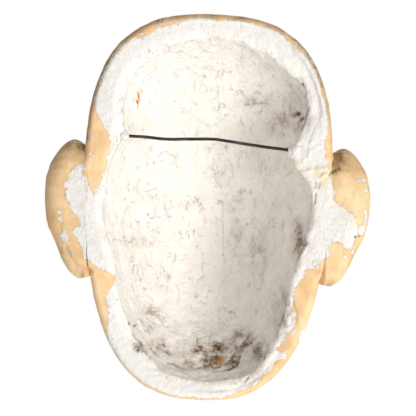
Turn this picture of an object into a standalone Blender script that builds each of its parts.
"""A hollow cast plaster wall mask, open at the back, that hangs on an iron wire.

Metres, +Z up. The face looks along -Y, and the flat back rim faces +Y. The origin is the middle of the
hanging wire, where a hook carries the mask. Left and right are the mask's own, so +X is its left.
"""

import math

import bmesh
import bpy
from mathutils import Vector

GAP = 0.0003  # clearance that touching pieces keep

# Head, as its back rim shows it
HEAD_HEIGHT = 0.240  # chin to crown
HEAD_WIDTH = 0.152  # across, at half the height
JAW_TAPER = 0.06  # half width gained per metre of height
OUTLINE_ROUNDNESS = 2.7  # 2 is an ellipse, more is squarer
FACE_DEPTH = 0.095  # back rim to the front of the face, before its features
DOME_ROUNDNESS = 2.6  # the same measure for the face's profile from rim to middle
HOLLOW_ROUNDNESS = 2.0  # the hollow is rounder, since the backing is laid thicker in its corners

# Coats of plaster, from the painted face inwards
FACE_COAT = 0.006
SCRIM = 0.0012
BACKING_COAT = 0.010
RIM_THICKNESS = 0.005
RIM_OUTER_EDGE = 0.0015  # how far each edge of the rim is eased
RIM_INNER_EDGE = 0.0025

# Ears
EAR_HEIGHT = 0.0855
EAR_REACH = 0.026  # beyond the side of the head
EAR_ROOT = 0.014  # how far the uncut ear runs into the head
EAR_DEPTH = 0.028
EAR_THINNING = 0.4  # share of that depth lost from the root to the outer edge
EAR_TIP_THINNING = 0.35  # share lost from the middle to the top and bottom
EAR_BACK_ROUNDING = 0.011  # how far forward the ear's rounded back edge runs
EAR_BACK_FLAT = 0.56  # share of the ear's outline that is flat at the back
EAR_TOP_BELOW_WIRE = 0.003
EAR_SET_FORWARD = 0.0005  # ears stay just clear of what the rim rests on
CONCHA_DEPTH = 0.007
FILLER_BED = 0.003
FILLER_SQUEEZE = 0.0012  # how far the filler stands out round the ear
PIN_DIAMETER = 0.0025
PIN_LENGTH = 0.026
PIN_FORWARD = 0.009  # in front of the ear's back

# Hanging wire
WIRE_HEIGHT = 0.1625  # its middle, above the chin
WIRE_COVER = 0.003  # from the front of the rim band to the wire's middle
WIRE_DIAMETER = 0.002
WIRE_BEND = 0.0035
WIRE_TAIL = 0.014  # turned up inside the backing coat at each end
WIRE_END_LEFT_Z = 0.0004
WIRE_END_RIGHT_Z = -0.006
ANCHOR_LEFT = Vector((0.0045, 0.0055, 0.0065))  # half axes: into the hollow, front to back, up
ANCHOR_RIGHT = Vector((0.0075, 0.0060, 0.0085))

# How finely the surfaces are divided
AROUND = 56
FACE_RINGS = 30
COAT_RINGS = 10
EAR_AROUND = 36
WIRE_SIDES = 10

# Worked out from the sizes above
RIM_WIDTH = FACE_COAT + GAP + SCRIM + GAP + BACKING_COAT
RIM_Y = RIM_THICKNESS + WIRE_COVER
COAT_START_Y = WIRE_COVER - GAP
COAT_DEPTH = COAT_START_Y - RIM_Y + FACE_DEPTH
CHIN_Z = -WIRE_HEIGHT
HEAD_MIDDLE_Z = CHIN_Z + HEAD_HEIGHT / 2

# Places on the face, by the usual proportions of a head
BROW_Z = CHIN_Z + 0.575 * HEAD_HEIGHT
EYE_Z = CHIN_Z + 0.50 * HEAD_HEIGHT
NOSE_BASE_Z = CHIN_Z + 0.29 * HEAD_HEIGHT
MOUTH_Z = CHIN_Z + 0.195 * HEAD_HEIGHT
CHIN_POINT_Z = CHIN_Z + 0.075 * HEAD_HEIGHT
EYE_X = 0.21 * HEAD_WIDTH
FACE_MIDDLE_Z = CHIN_Z + 0.40 * HEAD_HEIGHT  # where the rings of the face close


def clear_scene():
    for old in list(bpy.data.objects):
        bpy.data.objects.remove(old, do_unlink=True)


def new_material(name, colour, roughness, metallic=0.0):
    material = bpy.data.materials.new(name)
    material.use_nodes = True
    shader = material.node_tree.nodes["Principled BSDF"]
    shader.inputs["Base Color"].default_value = (*colour, 1.0)
    shader.inputs["Roughness"].default_value = roughness
    shader.inputs["Metallic"].default_value = metallic
    return material


def new_object(name, bm, material=None, sharp_angle=math.radians(40)):
    """One object from a closed bmesh, faces out and shaded smooth but for its sharp edges."""
    bmesh.ops.recalc_face_normals(bm, faces=bm.faces)
    mesh = bpy.data.meshes.new(name)
    bm.to_mesh(mesh)
    bm.free()
    mesh.shade_smooth()
    mesh.set_sharp_from_angle(angle=sharp_angle)
    obj = bpy.data.objects.new(name, mesh)
    bpy.context.scene.collection.objects.link(obj)
    if material:
        mesh.materials.append(material)
    return obj


def new_cutter(name, bm):
    cutter = new_object(name, bm)
    cutter.hide_render = True
    cutter.display_type = "WIRE"
    return cutter


def combine(obj, cutter, operation="DIFFERENCE"):
    modifier = obj.modifiers.new(cutter.name, "BOOLEAN")
    modifier.operation = operation
    modifier.object = cutter


def skin(rings, closed=False):
    """A surface through rings of points. A ring of one point closes it there; closed joins last to first."""
    bm = bmesh.new()
    made = [[bm.verts.new(point) for point in ring] for ring in rings]
    if closed:
        made.append(made[0])
    for first, second in zip(made, made[1:]):
        count = max(len(first), len(second))
        for i in range(count):
            j = (i + 1) % count
            if len(first) == 1:
                bm.faces.new((first[0], second[i], second[j]))
            elif len(second) == 1:
                bm.faces.new((first[i], second[0], first[j]))
            else:
                bm.faces.new((first[i], second[i], second[j], first[j]))
    return bm


def half_width(z, inset=0.0):
    """Half the head's width at height z, drawn in by inset."""
    up = z - HEAD_MIDDLE_Z
    rise = HEAD_HEIGHT / 2 - inset
    full = HEAD_WIDTH / 2 - inset + JAW_TAPER * up
    return full * (1 - abs(up / rise) ** OUTLINE_ROUNDNESS) ** (1 / OUTLINE_ROUNDNESS)


def outline_point(angle, inset=0.0):
    """A point (x, z) of the head's outline, drawn in by inset."""
    across, up = math.cos(angle), math.sin(angle)
    power = 2 / OUTLINE_ROUNDNESS
    rise = (HEAD_HEIGHT / 2 - inset) * math.copysign(abs(up) ** power, up)
    full = HEAD_WIDTH / 2 - inset + JAW_TAPER * rise
    return full * math.copysign(abs(across) ** power, across), HEAD_MIDDLE_Z + rise


def angles(count):
    return [2 * math.pi * i / count for i in range(count)]


def outline_ring(inset, y):
    points = [outline_point(angle, inset) for angle in angles(AROUND)]
    return [Vector((x, y, z)) for x, z in points]


def bump(x, z, at_x, at_z, wide, high):
    """1 at a place on the face, falling smoothly to 0 about it."""
    return math.exp(-(((x - at_x) / wide) ** 2) - ((z - at_z) / high) ** 2)


def pair(x, z, at_x, at_z, wide, high):
    return bump(abs(x), z, at_x, at_z, wide, high)


def nose(x, z):
    """The ridge from the brow to the tip, with its two wings."""
    down = (BROW_Z - z) / (BROW_Z - NOSE_BASE_Z)
    if down < 0:
        return 0.0
    height = 0.020 * min(down, 1.0) ** 1.3
    if down > 0.85:
        height *= math.exp(-(((down - 0.85) / 0.16) ** 2))
    ridge = height * math.exp(-((x / 0.0105) ** 2))
    return ridge + 0.006 * pair(x, z, 0.0120, NOSE_BASE_Z + 0.010, 0.0080, 0.0085)


def relief(x, z):
    """How far a calm, general face stands out from the plain dome."""
    height = nose(x, z)
    height += 0.0055 * pair(x, z, EYE_X, BROW_Z, 0.020, 0.008)
    height += 0.0060 * pair(x, z, EYE_X, EYE_Z, 0.012, 0.009)
    height += 0.0050 * pair(x, z, 0.040, EYE_Z - 0.026, 0.020, 0.016)
    height += 0.0060 * bump(x, z, 0, MOUTH_Z + 0.004, 0.026, 0.020)
    height += 0.0030 * bump(x, z, 0, MOUTH_Z + 0.006, 0.020, 0.0050)
    height += 0.0040 * bump(x, z, 0, MOUTH_Z - 0.007, 0.017, 0.0060)
    height += 0.0110 * bump(x, z, 0, CHIN_POINT_Z, 0.021, 0.014)
    return height


def dome_point(angle, turn, inset, raised=False, roundness=DOME_ROUNDNESS):
    """A point of the mask's surface, sunk by inset. turn runs from 0 at the rim to 1 in mid face."""
    x, z = outline_point(angle, inset)
    shrink = math.cos(turn * math.pi / 2) if turn < 1 else 0.0
    reach = (1 - shrink**roundness) ** (1 / roundness)
    x *= shrink
    z = FACE_MIDDLE_Z + (z - FACE_MIDDLE_Z) * shrink
    y = COAT_START_Y - (COAT_DEPTH - inset) * reach
    if raised:
        y -= relief(x, z) * (1 - shrink**4)
    return Vector((x, y, z))


def dome_rings(inset, count, raised=False, roundness=DOME_ROUNDNESS):
    """Rings of points from the rim to the one point that closes them."""
    rings = [
        [dome_point(angle, i / count, inset, raised, roundness) for angle in angles(AROUND)]
        for i in range(count)
    ]
    return rings + [[dome_point(0.0, 1.0, inset, raised, roundness)]]


def coat(outer_inset, thickness, outer_rings=COAT_RINGS, raised=False, inner_roundness=DOME_ROUNDNESS):
    """A coat over the whole hollow, open at the rim, and even in thickness at the rim and in the middle."""
    inner = dome_rings(outer_inset + thickness, COAT_RINGS, roundness=inner_roundness)
    outer = dome_rings(outer_inset, outer_rings, raised)
    return skin(inner[::-1] + outer)


def filled_dome(inset, past_rim, roundness=DOME_ROUNDNESS):
    """The whole space inside the surface sunk by inset, run straight back past the rim."""
    back = outline_ring(inset, RIM_Y + past_rim)
    middle = Vector((0.0, RIM_Y + past_rim, FACE_MIDDLE_Z))
    rings = COAT_RINGS if inset > 0 else FACE_RINGS
    return skin([[middle], back] + dome_rings(inset, rings, roundness=roundness))


def make_coats(plaster, rough_plaster, jute):
    face = new_object("face_shell", coat(0.0, FACE_COAT, FACE_RINGS, raised=True), plaster)
    scrim = new_object("scrim_layer", coat(FACE_COAT + GAP, SCRIM), jute)
    backing_inset = FACE_COAT + GAP + SCRIM + GAP
    lining = coat(backing_inset, BACKING_COAT, inner_roundness=HOLLOW_ROUNDNESS)
    backing = new_object("backing_coat", lining, rough_plaster)
    return face, scrim, backing


def make_rim(plaster):
    """The flat band, struck level, that closes the coats' edges at the back."""
    front = RIM_Y - RIM_THICKNESS
    section = [
        (0.0, front),
        (0.0, RIM_Y - RIM_OUTER_EDGE),
        (RIM_OUTER_EDGE, RIM_Y),
        (RIM_WIDTH - RIM_INNER_EDGE, RIM_Y),
        (RIM_WIDTH, RIM_Y - RIM_INNER_EDGE),
        (RIM_WIDTH, front),
    ]
    rings = [outline_ring(inset, y) for inset, y in section]
    return new_object("rim_band", skin(rings, closed=True), plaster)


def smooth_path(points, steps, closed=False):
    """A Catmull-Rom curve through the points, with steps to each stretch."""
    count = len(points)
    stretches = count if closed else count - 1
    path = []
    for i in range(stretches):
        if closed:
            a, b, c, d = (points[(i + k) % count] for k in (-1, 0, 1, 2))
        else:
            a, b, c, d = (points[min(max(i + k, 0), count - 1)] for k in (-1, 0, 1, 2))
        for step in range(steps):
            t = step / steps
            path.append(
                0.5 * (2 * b + (c - a) * t + (2 * a - 5 * b + 4 * c - d) * t * t
                       + (3 * b - a - 3 * c + d) * t**3)
            )
    return path if closed else path + [points[-1]]


def ear_outline(side, grow):
    """The ear's outline from behind, as (x, z) points: its root runs on into the head."""
    top = -EAR_TOP_BELOW_WIRE
    wall = half_width(top - EAR_HEIGHT / 2)
    shape = [  # (share of the reach beyond the head, share of the height)
        (0.02, 0.955), (0.36, 1.0), (0.70, 0.92), (0.94, 0.76), (1.0, 0.58),
        (0.91, 0.39), (0.66, 0.22), (0.50, 0.11), (0.28, 0.025), (0.0, 0.0),
    ]
    corners = [
        Vector((wall + EAR_REACH * out, top - EAR_HEIGHT * (1 - up))) for out, up in shape
    ]
    corners.append(Vector((wall - EAR_ROOT, top - 0.85 * EAR_HEIGHT)))
    corners.append(Vector((wall - EAR_ROOT, top - 0.15 * EAR_HEIGHT)))
    middle = Vector((wall, top - EAR_HEIGHT / 2))
    points = smooth_path(corners, EAR_AROUND // len(corners), closed=True)
    grown = [middle + (p - middle) * (1 + grow / (p - middle).length) for p in points]
    return [Vector((side * p.x, p.y)) for p in grown], Vector((side * middle.x, middle.y))


def ear_section():
    """(share of the outline, distance in front of the ear's back), from its back to its hollow."""
    turns = [math.pi / 2 * i / 4 for i in range(5)]
    rounded = 1 - EAR_BACK_FLAT
    back = [
        (EAR_BACK_FLAT + rounded * math.sin(t), EAR_BACK_ROUNDING * (1 - math.cos(t)))
        for t in turns
    ]
    helix = EAR_DEPTH - EAR_BACK_ROUNDING
    front = [
        (0.88 + 0.12 * math.cos(t), EAR_BACK_ROUNDING + helix * math.sin(t)) for t in turns[1:]
    ]
    hollow = [(0.74, EAR_DEPTH - 0.4 * CONCHA_DEPTH), (0.45, EAR_DEPTH - CONCHA_DEPTH)]
    return back + front + hollow


def ear_fullness(point, middle):
    """The share of the ear's depth left at a point: it thins outwards, and to its top and bottom."""
    out = (abs(point.x) - abs(middle.x)) / EAR_REACH
    up = (point.y - middle.y) / (EAR_HEIGHT / 2)
    return (1 - EAR_THINNING * min(max(out, 0.0), 1.0)) * (1 - EAR_TIP_THINNING * up * up)


def ear_blank(side, grow=0.0):
    """An ear whose root still runs into the head."""
    points, middle = ear_outline(side, grow)
    back_y = RIM_Y - EAR_SET_FORWARD
    rings = [[Vector((middle.x, back_y, middle.y))]]
    for share, forward in ear_section():
        ring = [middle + (p - middle) * share for p in points]
        rings.append([Vector((p.x, back_y - forward * ear_fullness(p, middle), p.y)) for p in ring])
    rings.append([Vector((middle.x, back_y - EAR_DEPTH + CONCHA_DEPTH, middle.y))])
    return skin(rings)


def tube(path, radius, sides):
    """A solid rod round a path that stays in one plane of constant y."""
    rings = [[path[0]]]
    for i, point in enumerate(path):
        along = (path[min(i + 1, len(path) - 1)] - path[max(i - 1, 0)]).normalized()
        across = Vector((0.0, 1.0, 0.0))
        up = along.cross(across)
        rings.append(
            [point + radius * (math.cos(a) * across + math.sin(a) * up) for a in angles(sides)]
        )
    return skin(rings + [[path[-1]]])


def ear_pin_path(side, spare=0.0):
    z = -EAR_TOP_BELOW_WIRE - EAR_HEIGHT / 2
    y = RIM_Y - EAR_SET_FORWARD - PIN_FORWARD
    half = PIN_LENGTH / 2 + spare
    return [Vector((side * (half_width(z) + end), y, z)) for end in (-half, half)]


def make_ear(name, side, plaster, filler_plaster, iron, coats):
    """One ear, the bed of filler that joins it to the head, and the iron pin through both."""
    ear = new_object(f"ear_{name}", ear_blank(side), plaster)
    filler = new_object(f"ear_filler_{name}", ear_blank(side, FILLER_SQUEEZE), filler_plaster)
    behind = RIM_THICKNESS
    head = new_cutter(f"head_{name}", filled_dome(-GAP, behind))
    bed = new_cutter(f"bed_{name}", filled_dome(-FILLER_BED, behind))
    seat = new_cutter(f"seat_{name}", filled_dome(-FILLER_BED - GAP, behind))
    combine(ear, seat)
    combine(filler, bed, "INTERSECT")
    combine(filler, head)
    new_object(f"ear_pin_{name}", tube(ear_pin_path(side), PIN_DIAMETER / 2, WIRE_SIDES), iron)
    hole = new_cutter(
        f"pin_hole_{name}", tube(ear_pin_path(side, GAP), PIN_DIAMETER / 2 + GAP, WIRE_SIDES)
    )
    for piece in (ear, filler, *coats):
        combine(piece, hole)


def wire_tail(side, end_z, spare):
    """From the tail's upper end, inside the backing coat, round the bend to where the wire comes out."""
    coat_middle = half_width(end_z, RIM_WIDTH - BACKING_COAT / 2)
    centre = Vector((side * (coat_middle - WIRE_BEND), 0.0, end_z + WIRE_BEND))
    bend = [
        centre + WIRE_BEND * Vector((side * math.cos(t), 0.0, -math.sin(t)))
        for t in (math.pi / 2 * i / 4 for i in range(5))
    ]
    top = Vector((side * coat_middle, 0.0, end_z + WIRE_TAIL + spare))
    return [top] + bend


def wire_path(spare=0.0):
    left = wire_tail(1, WIRE_END_LEFT_Z, spare)
    right = wire_tail(-1, WIRE_END_RIGHT_Z, spare)
    span = left[-1].x
    middle = [
        left[-1],
        Vector((0.48 * span, 0.0, -0.0006)),
        Vector((0.0, 0.0, 0.0)),
        Vector((-0.48 * span, 0.0, 0.5 * WIRE_END_RIGHT_Z)),
        right[-1],
    ]
    return left[:-1] + smooth_path(middle, 5) + right[-2::-1]


def make_wire(iron, rough_plaster, backing):
    """The hanging wire, its channels in the backing coat, and the dab of plaster round each end."""
    new_object("hanging_wire", tube(wire_path(), WIRE_DIAMETER / 2, WIRE_SIDES), iron)
    channel = new_cutter("channel", tube(wire_path(GAP), WIRE_DIAMETER / 2 + GAP, WIRE_SIDES))
    combine(backing, channel)
    space = filled_dome(RIM_WIDTH + GAP, RIM_THICKNESS, HOLLOW_ROUNDNESS)
    hollow = new_cutter("hollow", space)
    ends = (
        ("left", 1, WIRE_END_LEFT_Z, ANCHOR_LEFT),
        ("right", -1, WIRE_END_RIGHT_Z, ANCHOR_RIGHT),
    )
    for name, side, end_z, half_axes in ends:
        bm = bmesh.new()
        bmesh.ops.create_uvsphere(bm, u_segments=20, v_segments=12, radius=1.0)
        centre = Vector((side * half_width(end_z, RIM_WIDTH), 0.0, end_z))
        for vert in bm.verts:
            vert.co = centre + Vector(a * b for a, b in zip(vert.co, half_axes))
        anchor = new_object(f"wire_anchor_{name}", bm, rough_plaster)
        combine(anchor, hollow, "INTERSECT")
        combine(anchor, channel)


def main():
    clear_scene()
    painted = new_material("painted_plaster", (0.80, 0.58, 0.35), 0.70)
    bare = new_material("bare_plaster", (0.86, 0.85, 0.82), 0.85)
    rough = new_material("backing_plaster", (0.82, 0.78, 0.69), 0.90)
    filler = new_material("joint_filler", (0.85, 0.77, 0.58), 0.80)
    jute = new_material("jute_scrim", (0.50, 0.38, 0.22), 0.95)
    iron = new_material("iron_wire", (0.09, 0.085, 0.08), 0.50, 0.9)
    coats = make_coats(painted, rough, jute)
    make_rim(bare)
    for name, side in (("left", 1), ("right", -1)):
        make_ear(name, side, painted, filler, iron, coats)
    make_wire(iron, rough, coats[-1])


main()
